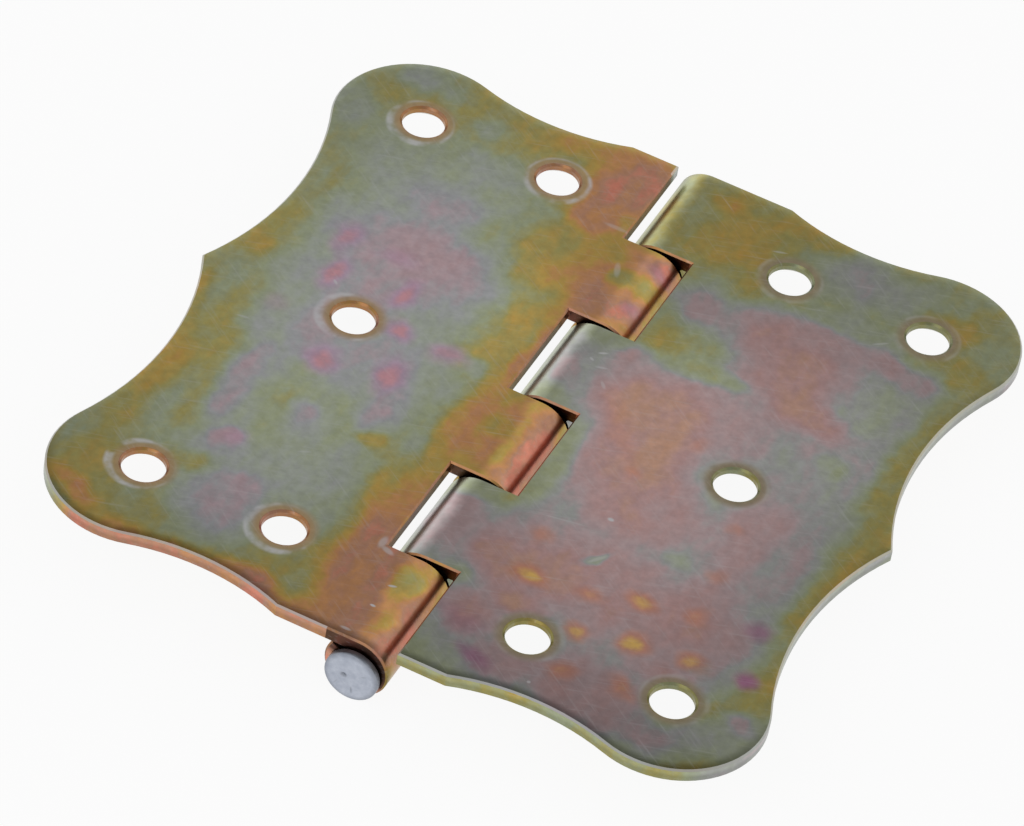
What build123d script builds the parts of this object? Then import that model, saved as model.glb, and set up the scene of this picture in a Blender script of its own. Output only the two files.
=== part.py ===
"""Decorative butt hinge: two scalloped leaves of stamped sheet, rolled round one headed pin.

X runs across the leaves, Y along the pin and Z up to the flat back of the leaves.
The origin lies under the middle of the pin, level with the lowest point of the knuckles.
"""

import os
from math import asin, degrees, sqrt

from build123d import *

os.makedirs("parts", exist_ok=True)

# Sheet and outline of a leaf, in millimetres
leaf_length = 80.0  # along the pin
leaf_reach = 38.25  # from the pin's axis to the point on the outer side
sheet = 1.4  # thickness of the steel
lobe_radius = 9.5  # round corner lobes, one round each corner hole
shoulder_reach = 9.0  # from the pin's axis to where the straight end edge stops
end_scallop_radius = 24.0  # hollow between the shoulder and a lobe
side_scallop_radius = 34.0  # hollow between a lobe and the point
outline_shift = 0.35  # how far along the pin the die sets the outline from the holes and slots
edge_break = 0.18  # small bevel that the die leaves round the flat back

# Knuckles
knuckles = 3  # rolled on each leaf
knuckle_gap = 0.4  # between neighbouring knuckles, along the pin
slot_clearance = 0.35  # between a knuckle and the slot of the other leaf
seam_gap = 0.1  # where the rolled end comes back under the leaf

# Screw holes, countersunk from the knuckle side
hole_diameter = 4.5
countersink_diameter = 5.9
countersink_angle = 90
inner_hole_reach = 13.25  # from the pin's axis to the inner pair
middle_hole_reach = 21.25  # from the pin's axis to the single hole
mouth_break = 0.2  # small bevel round a hole's mouth in the flat back

# Pin, a loose fit that lies on the floor of the knuckles, flattened to a head at both ends
pin_diameter = 2.8
bore_play = 1.2  # how much wider the knuckles are inside than the pin
floor_clearance = 0.05  # between the pin and the floor of the knuckles
end_play = 0.25  # between a head and the end knuckle
head_diameter = 5.7
head_thickness = 0.75
head_edge_round = 0.25
punch_mark_diameter = 0.6
punch_mark_depth = 0.15
punch_mark_offset = 0.7  # beside the middle of the head

# Worked out from the sizes above
bore_radius = (pin_diameter + bore_play) / 2
knuckle_radius = bore_radius + sheet
axis_height = knuckle_radius
pin_height = axis_height - bore_play / 2 + floor_clearance
back_height = axis_height + knuckle_radius
underside_height = back_height - sheet
half_length = leaf_length / 2
knuckle_pitch = half_length / knuckles
slot_length = knuckle_pitch + knuckle_gap
slot_reach = knuckle_radius + slot_clearance
curl_angle = 270 + degrees(asin((bore_radius - seam_gap) / knuckle_radius))
hole_row = half_length - lobe_radius
lobe_centre = Vector(leaf_reach - lobe_radius, hole_row)
shoulder = Vector(shoulder_reach, half_length)
point = Vector(leaf_reach, 0)


def lobe_tangent(start, radius, turn):
    """Where a hollow arc of this radius, begun at start, runs smoothly into the corner lobe."""
    span = lobe_centre - start
    along = (span.length**2 + radius**2 - (radius + lobe_radius) ** 2) / (2 * span.length)
    across = sqrt(radius**2 - along**2)
    direction = span.normalized()
    arc_centre = start + direction * along + direction.rotate(Axis.Z, turn) * across
    return lobe_centre + (arc_centre - lobe_centre).normalized() * lobe_radius


lobe_end_side = lobe_tangent(shoulder, end_scallop_radius, 90)
lobe_outer_side = lobe_tangent(point, side_scallop_radius, -90)

hole_places = [
    (lobe_centre.X, hole_row),
    (lobe_centre.X, -hole_row),
    (inner_hole_reach, hole_row),
    (inner_hole_reach, -hole_row),
    (middle_hole_reach, 0),
]

# The slots that clear the other leaf's knuckles, every second place along the pin
slot_places = [(0, half_length - (2 * k + 1.5) * knuckle_pitch, axis_height) for k in range(knuckles)]

# Right leaf: the flat blank, its rolled edge, the slots and the screw holes
with BuildPart() as right_leaf:
    with BuildSketch(Plane((0, outline_shift, underside_height))) as blank:
        with BuildLine() as outline:
            Line((0, 0), (0, half_length))
            Line((0, half_length), shoulder)
            RadiusArc(shoulder, lobe_end_side, -end_scallop_radius)
            RadiusArc(lobe_end_side, lobe_outer_side, lobe_radius)
            RadiusArc(lobe_outer_side, point, -side_scallop_radius)
            mirror(about=Plane.XZ)
        make_face()
    extrude(amount=sheet)

    with BuildSketch(Plane.XZ.offset(-half_length - outline_shift)) as roll:
        with BuildLine() as curl:
            outside = CenterArc((0, axis_height), knuckle_radius, 90, curl_angle)
            inside = CenterArc((0, axis_height), bore_radius, 90, curl_angle)
            Line(outside @ 0, inside @ 0)
            Line(outside @ 1, inside @ 1)
        make_face()
    extrude(amount=leaf_length)

    with Locations(*slot_places):
        Box(2 * slot_reach, slot_length, 2 * back_height, mode=Mode.SUBTRACT)

    flat_back = right_leaf.faces().filter_by(Plane.XY).sort_by(Axis.Z)[-1]
    chamfer(flat_back.outer_wire().edges(), edge_break)

    with Locations(Plane((0, 0, underside_height), x_dir=(1, 0, 0), z_dir=(0, 0, -1))):
        with Locations(*hole_places):
            CounterSinkHole(
                radius=hole_diameter / 2,
                counter_sink_radius=countersink_diameter / 2,
                counter_sink_angle=countersink_angle,
            )
    flat_back = right_leaf.faces().filter_by(Plane.XY).sort_by(Axis.Z)[-1]
    hole_mouths = [wire.edges()[0] for wire in flat_back.inner_wires()]
    chamfer(hole_mouths, mouth_break)

# Left leaf: the same stamping, turned half a turn so that its knuckles fill the slots
with BuildPart() as left_leaf:
    add(right_leaf.part, rotation=(0, 0, 180))

# Pin: a plain shank with a flattened, round-edged head and a punch mark at each end
shank_half = half_length + outline_shift + end_play
pin_half = shank_half + head_thickness

with BuildPart() as pin:
    with BuildSketch(Plane.YZ) as half_section:
        with Locations((0, pin_height)):
            Rectangle(2 * shank_half, pin_diameter / 2, align=(Align.CENTER, Align.MIN))
        with Locations((-shank_half, pin_height)):
            Rectangle(head_thickness, head_diameter / 2, align=(Align.MAX, Align.MIN))
        with Locations((shank_half, pin_height)):
            Rectangle(head_thickness, head_diameter / 2, align=(Align.MIN, Align.MIN))
    revolve(axis=Axis((0, 0, pin_height), (0, 1, 0)))
    end_rims = pin.edges().group_by(Axis.Y)
    fillet(end_rims[0] + end_rims[-1], head_edge_round)
    for side in (-1, 1):
        head_face = Plane((side * punch_mark_offset, side * pin_half, pin_height), z_dir=(0, side, 0))
        with Locations(head_face):
            Cone(
                0,
                punch_mark_diameter / 2,
                punch_mark_depth,
                align=(Align.CENTER, Align.CENTER, Align.MAX),
                mode=Mode.SUBTRACT,
            )

for name, piece in (("left_leaf", left_leaf), ("right_leaf", right_leaf), ("pin", pin)):
    piece.part.label = name
    export_step(piece.part, f"parts/{name}.step")
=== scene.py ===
"""Looks of a decorative butt hinge: chromate-coated leaves, a bright pin and a plain white stage."""

from collections import namedtuple
from math import cos, radians, sin

import bpy
from mathutils import Matrix, Vector

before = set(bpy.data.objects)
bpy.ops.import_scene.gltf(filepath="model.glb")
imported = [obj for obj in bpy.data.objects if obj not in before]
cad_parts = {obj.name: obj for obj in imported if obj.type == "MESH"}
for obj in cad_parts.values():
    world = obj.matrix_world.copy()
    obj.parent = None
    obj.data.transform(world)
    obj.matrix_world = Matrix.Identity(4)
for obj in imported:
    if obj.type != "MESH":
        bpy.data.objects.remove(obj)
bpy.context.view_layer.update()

bl_info = {
    "name": "Decorative hinge",
    "version": (1, 0, 0),
    "blender": (4, 5, 0),
    "location": "3D View > Sidebar > Hinge",
    "description": "Dresses the leaves and the pin of a decorative hinge and sets its studio",
    "category": "Object",
}

MM = 0.001
SENSOR_WIDTH = 36.0

# Places in millimetres, in the frame of the hinge: X across the leaves, Y along the pin, Z up
KNUCKLE_REACH = 3.55
SLOT_REACH = 6.0
SLOT_END = 38.0
PIN_HEIGHT = 2.85
HEAD_RADIUS = 2.85
HEAD_RIM = 2.3

# Outline of a leaf, folded into one quarter: a round lobe between two hollow arcs.
# The die sets the outline a little along the pin.
OUTLINE_SHIFT = 0.35
LOBE_CENTRE = (28.75, 30.5, 0)
LOBE_RADIUS = 9.5
END_HOLLOW_CENTRE = (18.03, 62.24, 0)
END_HOLLOW_RADIUS = 24.0
SIDE_HOLLOW_CENTRE = (69.11, 14.27, 0)
SIDE_HOLLOW_RADIUS = 34.0

# Screw holes of the same quarter, and how far from their middles their marks lie
HOLES = ((28.75, 30.5, 0), (13.25, 30.5, 0), (21.25, 0, 0))
HOLE_MOUTH = 2.5
HOLE_RIM = 3.8
RING_INSIDE = 2.9
RING_OUTSIDE = 3.75
RING_FADE = 0.45

# Middles of the rubbed rings, a little beside the holes, so that each ring is broad on one side
LEFT_RINGS = (
    (-28.95, 30.05, 0),
    (-13.15, 30.25, 0),
    (-21.75, -0.25, 0),
    (-29.2, -30.6, 0),
    (-13.6, -30.9, 0),
)
RIGHT_RINGS = (
    (28.65, 30.3, 0),
    (13.2, 30.3, 0),
    (21.1, -0.2, 0),
    (28.85, -30.3, 0),
    (13.4, -30.4, 0),
)

# Farther than any place on the hinge, where the search for the nearest one starts
FAR = 1000.0

# Where along the pin the dark strip of painted shade inside the front edges begins and is full, and its width
STRIP_START = -22.0
STRIP_FULL = -34.0
STRIP_WIDTH = 1.35

# Height over which painted shade darkens the ends of the knuckles, lower on the right than on the left
END_LOW = 2.4
END_HIGH = 3.4
END_SLANT = 0.45

# Height over which a cut wall turns from the smooth zone of the die to the torn one below
TORN_TOP = 5.9
SMOOTH_LOW = 6.3

# How much of the normal faces up, sideways or along the pin on the walls, bevels and ends of the sheet
WALL_SLOPE = 0.5
BEVEL_SLOPE = 0.7
BEVEL_SPREAD = 0.15
SIDE_START = 0.3
SIDE_FULL = 0.8
END_SLOPE = 0.9

# Shares of an oval's size between which it fades
STAIN_FADE = (0.3, 1.7)
SPOT_FADE = (0.15, 1.55)
NICK_FADE = (0.5, 1.3)
MARK_FADE = (0.3, 1.3)

# Shares of a spot between which its middle takes over from its rim
CORE_SHARE = (0.55, 0.95)

# Noise lies round this value, and each pattern runs from one end to the other between two noise values
NOISE_MEAN = 0.5
CLOUD_NOISE = (0.25, 0.75)
FLECK_NOISE = (0.35, 0.6)
DUST_NOISE = (0.3, 0.7)
PATCH_NOISE = (0.4, 0.58)
SCRATCH_NOISE = (0.60, 0.85)
PLATE_NOISE = (0.3, 0.7)

# Directions of the hairline scratches, in degrees
SCRATCH_TURNS = (-20, 35)

# Stage: colours of the paper and the light, the dome's half-way height and the way to the softbox
PAPER_WHITE = (0.9, 0.9, 0.9, 1)
WHITE = (1, 1, 1, 1)
SLANT_HEIGHT = 0.68
SOFTBOX_WAY = (-0.2, -0.66, 0.72)
CLIP_END = 100.0

# An oval lays its own value over what lies under it, at half strength on its rim
Oval = namedtuple("Oval", "x y half_x half_y turn value")

# Film values follow the order of the film's colours:
# 0 ember, 0.3 olive, 0.5 teal, 0.66 mauve, 0.8 pink, 0.9 salmon
LEFT_FILM = (
    # The broad middle
    Oval(-20.5, -2, 10, 29, 0, 0.50),
    # Rims
    Oval(-36, 32, 4, 7, 0, 0.40),
    Oval(-31.5, 36, 2.4, 2.2, 0, 0.49),
    Oval(-27.5, 33, 7, 2.2, 0, 0.29),
    Oval(-20, 33, 6.5, 2.6, 0, 0.29),
    Oval(-18, 37, 9, 2.4, 0, 0.30),
    Oval(-33.4, 10, 2.6, 8, 0, 0.34),
    Oval(-35.5, -10, 3.4, 18, 0, 0.27),
    Oval(-33.4, -4.6, 1.8, 4, 0, 0.36),
    Oval(-37, 0, 2.2, 2.4, 0, 0.38),
    Oval(-33.5, -34, 6.5, 8, 0, 0.31),
    Oval(-16, -37, 14, 2.4, 0, 0.34),
    # The middle, from the back to the front
    Oval(-22, 33.6, 1.8, 1.6, 0, 0.40),
    Oval(-23, 22.5, 7.5, 4.0, 0, 0.46),
    Oval(-21, 20.5, 3.6, 2.8, 0, 0.62),
    Oval(-20, 10.5, 8.2, 7.2, 0, 0.67),
    Oval(-20, 12.5, 5, 3.4, 0, 0.72),
    Oval(-14.5, 17.5, 2.4, 2.4, 0, 0.48),
    Oval(-19.5, -2, 9.5, 7.5, 0, 0.585),
    Oval(-26.3, -13, 1.8, 5, 0, 0.57),
    Oval(-22, -13.5, 3.0, 2.6, 0, 0.43),
    Oval(-17.5, -12, 2.4, 1.8, 0, 0.40),
    Oval(-12.4, -10, 2.2, 3.4, 0, 0.60),
    Oval(-17.5, -17, 1.8, 1.8, 0, 0.52),
    Oval(-13, -21.5, 2.6, 2.6, 0, 0.50),
    Oval(-20.5, -20.5, 3.4, 1.8, 0, 0.43),
    Oval(-23.5, -24, 2.0, 2.0, 0, 0.58),
    Oval(-17.5, -24, 1.8, 1.4, 0, 0.44),
    Oval(-20, -30.5, 4.4, 4.4, 0, 0.62),
    Oval(-20, -28, 2.4, 1.8, 0, 0.65),
    Oval(-26.3, -27.5, 2.4, 1.6, 0, 0.31),
    Oval(-26.6, -10.5, 1.0, 2.6, 0, 0.64),
    Oval(-26.6, -18, 1.2, 2.4, 0, 0.60),
    Oval(-22.6, -9.6, 1.4, 1.2, 0, 0.43),
    Oval(-13.2, -10.8, 1.2, 2.8, 0, 0.65),
    Oval(-19.2, -15.4, 1.2, 1.8, 0, 0.60),
    Oval(-24, -22.2, 1.4, 1.4, 0, 0.66),
    Oval(-10.8, -4, 1.6, 2.2, 0, 0.46),
    Oval(-17, 24.5, 2.4, 1.6, 0, 0.43),
    Oval(-30.5, -13, 1.8, 6, 0, 0.28),
    Oval(-29.5, -20.5, 1.8, 3, 0, 0.33),
    Oval(-34.5, -17, 2.0, 4.5, 0, 0.21),
    # Olive, gold, rust and brown towards the pin and along the rims
    Oval(-7.2, 6, 2.8, 8.0, 0, 0.27),
    Oval(-8.2, 0.4, 1.6, 1.3, 0, 0.48),
    Oval(-9.6, 20, 3.0, 4.6, 0, 0.28),
    Oval(-6.4, 18, 2.4, 3.0, 0, 0.22),
    Oval(-9, 27.5, 3.4, 1.6, 0, 0.17),
    Oval(-6, 33.5, 4.6, 6.8, 0, 0.06),
    Oval(-8.6, 28, 2.6, 2.0, 0, 0.20),
    Oval(-13.5, 36.5, 3.6, 2.0, 0, 0.22),
    Oval(-4, 6, 0.9, 8, 0, 0.13),
    Oval(-5.4, -8, 1.7, 8, 0, 0.17),
    Oval(-4.3, -29, 3.8, 12, 0, 0.06),
    Oval(-8.4, -17.5, 1.3, 3.2, 0, 0.28),
    Oval(-16, -40.2, 13, 2.1, 0, 0.08),
    Oval(-13.6, -37.9, 2.2, 1.1, 0, 0.07),
    Oval(-33.2, -36.9, 3.0, 1.3, -25, 0.14),
    Oval(-36.5, -15, 1.0, 1.6, 0, 0.13),
    Oval(-34.6, 4.3, 1.3, 1.6, 0, 0.20),
    Oval(-11.6, -15, 1.4, 1.0, 0, 0.29),
    # The back knuckle
    Oval(-1.2, 19.5, 4.2, 8, 0, 0.08),
    Oval(-3.6, 23.4, 2.0, 1.2, 0, 0.23),
    Oval(-1.4, 20.6, 1.2, 1.3, 0, 0.30),
    Oval(1.8, 20.8, 2.6, 1.7, 0, 0.24),
    Oval(1.5, 24.6, 2.4, 1.7, 0, 0.0),
    Oval(1.3, 16.9, 2.2, 1.5, 0, 0.0),
    Oval(1.4, 14.2, 2.4, 0.8, 0, 0.15),
    Oval(3.3, 19, 0.5, 7, 0, 0.25),
    # The middle knuckle
    Oval(-1.5, -6.6, 3.2, 7.4, 0, 0.09),
    Oval(-2, -5.6, 1.7, 1.7, 0, 0.22),
    Oval(0, -6.6, 1.0, 6.6, 0, 0.20),
    Oval(2.2, -6.6, 1.4, 7, 0, 0.03),
    Oval(2, -11.8, 2.2, 1.4, 0, 0.0),
    # The front knuckle
    Oval(-0.5, -33.5, 4.5, 8, 0, 0.06),
    Oval(0.8, -35.4, 1.3, 3.4, 0, 0.18),
    Oval(0.7, -31, 1.8, 2.0, 0, 0.29),
    Oval(2.6, -34, 1.0, 6, 0, 0.07),
    Oval(1.7, -39, 1.5, 1.6, 0, 0.0),
)
RIGHT_FILM = (
    # The broad middle
    Oval(18.5, -6, 13, 30, 0, 0.62),
    # Rims
    Oval(5, 33, 7.5, 7, 0, 0.27),
    Oval(13, 29.5, 5, 3.4, 0, 0.28),
    Oval(3, 36.8, 1.8, 1.2, 0, 0.18),
    Oval(1.5, 29, 2.6, 1.3, 0, 0.25),
    Oval(14, 38, 5, 1.8, 0, 0.26),
    Oval(20.5, 34.5, 4.4, 3.4, 0, 0.56),
    Oval(30, 32.5, 2.6, 2.0, 0, 0.24),
    Oval(32, 27.8, 4.4, 2.2, 0, 0.28),
    Oval(35.4, 14, 3.2, 9, 0, 0.30),
    Oval(36, -6, 2.8, 11, 0, 0.25),
    Oval(36, -21, 2.6, 6, 0, 0.28),
    Oval(34.5, -28.5, 3, 2.4, 0, 0.29),
    Oval(35, -37, 4, 2, 0, 0.30),
    # The middle, from the back to the front
    Oval(22, 27.8, 3.6, 1.3, 0, 0.54),
    Oval(20.5, 24.6, 3.4, 1.4, 0, 0.72),
    Oval(27.5, 24.5, 4, 2.0, 0, 0.71),
    Oval(32.4, 27.2, 3.6, 2.2, 0, 0.23),
    Oval(30.8, 23.4, 2.2, 2.4, 0, 0.66),
    Oval(30.6, 12, 2.0, 10, 0, 0.60),
    Oval(7.5, 21.8, 4, 2.4, 0, 0.62),
    Oval(27, 18, 3.2, 3.4, 0, 0.52),
    Oval(7.6, 15.8, 3.8, 2.6, 0, 0.34),
    Oval(17.5, 21.5, 7.0, 3.6, 0, 0.79),
    Oval(19.6, 15.8, 4.4, 4.4, 0, 0.85),
    Oval(23, 13.2, 4, 1.7, -15, 0.88),
    Oval(9.6, 4.6, 6.4, 6.6, 0, 0.91),
    Oval(12.5, -4.5, 5, 6, 0, 0.87),
    Oval(12.4, 12.8, 3.8, 1.4, 0, 0.40),
    Oval(17.5, 8, 1.8, 3, 0, 0.66),
    Oval(22.5, 7.5, 3.6, 2.4, 0, 0.60),
    Oval(21.25, 0, 4.0, 4.0, 0, 0.53),
    Oval(28.5, 8, 1.6, 1.4, 0, 0.43),
    Oval(18.5, -8, 5, 3.2, 0, 0.72),
    Oval(26.5, -6, 3.4, 6.8, 0, 0.75),
    Oval(14, -10.5, 3.2, 2.2, 0, 0.79),
    Oval(20, -13.3, 1.8, 1.2, 0, 0.52),
    Oval(4.8, -7, 1.5, 6, 0, 0.45),
    Oval(17, -20.5, 14, 5.6, 0, 0.79),
    Oval(8, -22.5, 4.6, 3.4, 0, 0.88),
    Oval(30.5, -9, 2.2, 6, 0, 0.66),
    Oval(7, -30.5, 4.2, 3.0, 0, 0.77),
    Oval(19, -34, 13, 3.8, 0, 0.70),
    Oval(27, -28, 4, 1.8, 0, 0.72),
    Oval(29.5, -32.5, 1.8, 1.6, 0, 0.44),
    Oval(10.4, -27, 2.2, 1.4, 0, 0.92),
    Oval(27.5, -36.6, 3.4, 1.6, 0, 0.70),
    # Knuckles
    Oval(-0.5, 33, 2.8, 6.5, 0, 0.33),
    Oval(-0.5, 6.5, 2.8, 6.5, 0, 0.58),
    Oval(0.2, 5.4, 1.4, 3.0, 0, 0.68),
    Oval(5.5, 11, 2.0, 1.6, 0, 0.72),
    Oval(0.5, 12, 2.6, 1.2, 0, 0.42),
    Oval(-0.4, 1.6, 1.6, 1.4, 0, 0.46),
    Oval(-0.5, -20, 2.8, 6.5, 0, 0.66),
    Oval(1, -14.6, 2.6, 1.4, 0, 0.36),
    # Small grey spots
    Oval(14.3, -17.2, 1.4, 0.5, 55, 0.46),
    Oval(35.5, -30, 1.3, 1.5, 0, 0.58),
)

# Small round spots, each with its share of the spot's own colour
LEFT_SPOTS = (
    Oval(-27.3, 10.5, 1.5, 2.4, 0, 0.9),
    Oval(-21.5, 10.5, 2.2, 1.4, 0, 0.4),
    Oval(-26, 5, 1.4, 2.8, 0, 1.0),
    Oval(-18.4, 6, 1.3, 2.6, 0, 1.0),
    Oval(-16.6, 0.9, 1.6, 1.6, 0, 1.0),
    Oval(-10.8, 0.5, 1.9, 1.5, 0, 0.8),
    Oval(-21, -7, 1.7, 2.1, 0, 1.0),
    Oval(-14.5, -5.5, 1.5, 2.8, 0, 1.0),
    Oval(-29, -2.4, 1.2, 1.2, 0, 0.3),
    Oval(-23.4, -22, 1.4, 1.4, 0, 0.35),
    Oval(1.5, 24, 1.0, 0.9, 0, 0.4),
    Oval(1.4, 17, 1.1, 0.9, 0, 0.4),
)
RIGHT_SPOTS = (
    Oval(8.6, 0, 1.1, 6, 35, 0.25),
    Oval(12, -4.6, 1.0, 0.8, 0, 0.45),
    Oval(16, 3.0, 0.9, 1.0, 0, 0.3),
    Oval(24, -6.5, 1.0, 0.9, 0, 0.35),
    Oval(25.4, -13.0, 1.1, 1.0, 0, 0.4),
    Oval(8.2, -17.3, 1.3, 1.2, 0, 0.55),
    Oval(9.4, -23.1, 1.7, 1.3, 0, 1.0),
    Oval(15.6, -22.0, 1.4, 1.2, 0, 0.65),
    Oval(20.5, -20.2, 1.4, 1.3, 0, 0.9),
    Oval(26, -18.7, 1.4, 1.2, 0, 0.6),
    Oval(22.3, -25.8, 1.6, 1.4, 0, 1.0),
    Oval(28.3, -24.8, 1.5, 1.4, 0, 0.85),
    Oval(16.8, -27.3, 1.5, 1.3, 0, 0.9),
    Oval(18.2, -33.0, 1.3, 1.3, 0, 0.65),
    Oval(23.6, -32.0, 1.7, 1.1, -30, 0.65),
)

# A few plum spots near the front of the right leaf
RIGHT_PLUMS = (
    Oval(33.6, -24.1, 1.4, 1.2, 0, 1.0),
    Oval(32, -17.6, 1.4, 1.1, 0, 0.7),
    Oval(9.9, -35.9, 2.0, 1.0, -15, 0.75),
    Oval(6.6, -32, 2.6, 1.6, 0, 0.3),
)

# Tone values multiply the film's colour, mostly as painted light and shade: the middle of a leaf stays light,
# painted shade dims its rims and front, and long ovals lay painted highlights and painted shade along the
# knuckles
LEFT_TONE = (
    Oval(-20, 0, 14, 30, 0, 1.0),
    Oval(-9, 8, 4, 9, 0, 1.04),
    Oval(-18, -39, 20, 4.5, 0, 0.70),
    Oval(-6, 34, 6, 8, 0, 0.80),
    Oval(-5, -34, 5, 9, 0, 0.73),
    # A painted highlight along the tops of the knuckles, a little weaker at two spots
    Oval(0.7, 0, 1.3, 60, 0, 1.2),
    Oval(1.5, 24.4, 1.2, 1.0, 0, 0.92),
    Oval(1.4, 17, 1.2, 1.0, 0, 0.98),
    # A painted shade line along the knuckles
    Oval(2.7, 0, 0.7, 60, 0, 0.85),
)
RIGHT_TONE = (
    Oval(16, -4, 11, 22, 0, 0.97),
    Oval(10, 2, 8, 12, 0, 1.02),
    Oval(26, 10, 6, 10, 0, 0.90),
    Oval(19, -38, 24, 7, 0, 0.62),
    Oval(20, 35, 16, 6, 0, 0.66),
    Oval(27.5, -36.6, 6, 2.4, 0, 0.56),
    Oval(33.4, -24, 1.4, 1.3, 0, 0.78),
    # A painted highlight along the flanks of the knuckles
    Oval(-2.0, 0, 1.3, 60, 0, 1.4),
)

# Nicks and rubbed corners, each with its share of bare zinc
LEFT_NICKS = (
    Oval(-4.3, -26.9, 0.4, 0.9, 0, 0.45),
    Oval(-3.4, -27.7, 0.8, 0.35, -20, 0.45),
    Oval(-1.2, -35.2, 0.3, 0.16, 0, 0.9),
    Oval(-0.8, -31.8, 0.45, 0.16, 20, 0.8),
    Oval(-2.0, -39.4, 0.6, 0.2, 0, 0.5),
    Oval(-5.0, 27.3, 1.4, 0.3, 0, 0.25),
    Oval(-2.2, 21.6, 0.35, 1.1, 20, 0.3),
    Oval(-25.2, 3.6, 0.4, 0.16, -40, 0.6),
    Oval(-16.5, -20.0, 0.15, 0.7, -60, 0.25),
    Oval(-30.6, -6.2, 0.7, 0.15, 10, 0.3),
)
RIGHT_NICKS = (
    Oval(2.0, 9.6, 0.5, 0.15, 30, 0.6),
    Oval(2.8, 7.6, 0.7, 0.15, 20, 0.4),
    Oval(1.4, 8.2, 0.3, 0.15, -30, 0.5),
    Oval(4.0, 5.4, 0.2, 0.6, 40, 0.35),
    Oval(13.0, -11.5, 0.35, 0.25, 0, 0.9),
    Oval(14.3, -17.2, 1.1, 0.22, 55, 0.4),
    Oval(16.0, -36.0, 0.2, 0.2, 0, 0.5),
    Oval(9.0, -14.2, 2.4, 0.12, 12, 0.25),
    Oval(10.6, 33.6, 0.8, 0.15, 20, 0.3),
    Oval(25.0, 27.0, 0.15, 0.9, -50, 0.25),
)

# Marks on the pin's heads, by X and height: a punch mark and scratches
PIN_MARKS = (
    Oval(-0.7, 2.85, 0.4, 0.35, 0, 0.6),
    Oval(0.3, 1.3, 0.12, 0.45, 10, 0.7),
    Oval(1.4, 3.6, 0.4, 0.1, 30, 0.85),
    Oval(-1.4, 1.6, 0.1, 0.35, -30, 0.85),
)


def linear(hex_colour):
    """Turn an sRGB hex colour into linear red, green, blue and alpha."""
    channels = [int(hex_colour[i : i + 2], 16) / 255 for i in (1, 3, 5)]
    return [c / 12.92 if c <= 0.04045 else ((c + 0.055) / 1.055) ** 2.4 for c in channels] + [1.0]


def colour(name, description, hex_colour):
    """Make a colour setting from an sRGB hex value."""
    return bpy.props.FloatVectorProperty(
        name=name,
        description=description,
        default=linear(hex_colour),
        subtype="COLOR",
        size=4,
        min=0.0,
        max=1.0,
    )


def length(name, description, metres):
    """Make a length setting."""
    return bpy.props.FloatProperty(
        name=name, description=description, default=metres, subtype="DISTANCE", unit="LENGTH"
    )


def angle(name, description, degrees):
    """Make an angle setting."""
    return bpy.props.FloatProperty(
        name=name, description=description, default=radians(degrees), subtype="ANGLE"
    )


def amount(name, description, value):
    """Make a plain number setting."""
    return bpy.props.FloatProperty(
        name=name, description=description, default=value, subtype="FACTOR", max=10.0
    )


class HINGE_PG_film(bpy.types.PropertyGroup):
    """Colours of the chromate film, in the order in which its thickness brings them."""

    ember: colour("Ember", "Reddest places on the knuckles", "#DD8D76")
    brown: colour("Brown", "Along the pin", "#C29177")
    rust: colour("Rust", "Next to the brown", "#D09766")
    gold: colour("Gold", "Patches on the outer rim", "#C4A357")
    olive: colour("Olive", "Rims and ends of the leaves", "#ACA366")
    green: colour("Green", "Between the rims and the middle", "#A4AB8C")
    teal: colour("Teal", "Grey with a little green", "#A7ADA0")
    blue: colour("Blue", "Blue grey of the middle", "#A7A8AA")
    mauve: colour("Mauve", "Grey violet round the pink fields", "#B7A3A8")
    pink: colour("Pink", "Broad fields of the right leaf", "#BC999A")
    salmon: colour("Salmon", "Middle of the pink fields", "#C49C8C")
    orange: colour("Orange", "Thickest film", "#CA9B80")


# Where each film colour stands between 0 and 1
FILM_STEPS = (0.0, 0.06, 0.13, 0.21, 0.30, 0.40, 0.50, 0.58, 0.66, 0.80, 0.90, 1.0)


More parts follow.
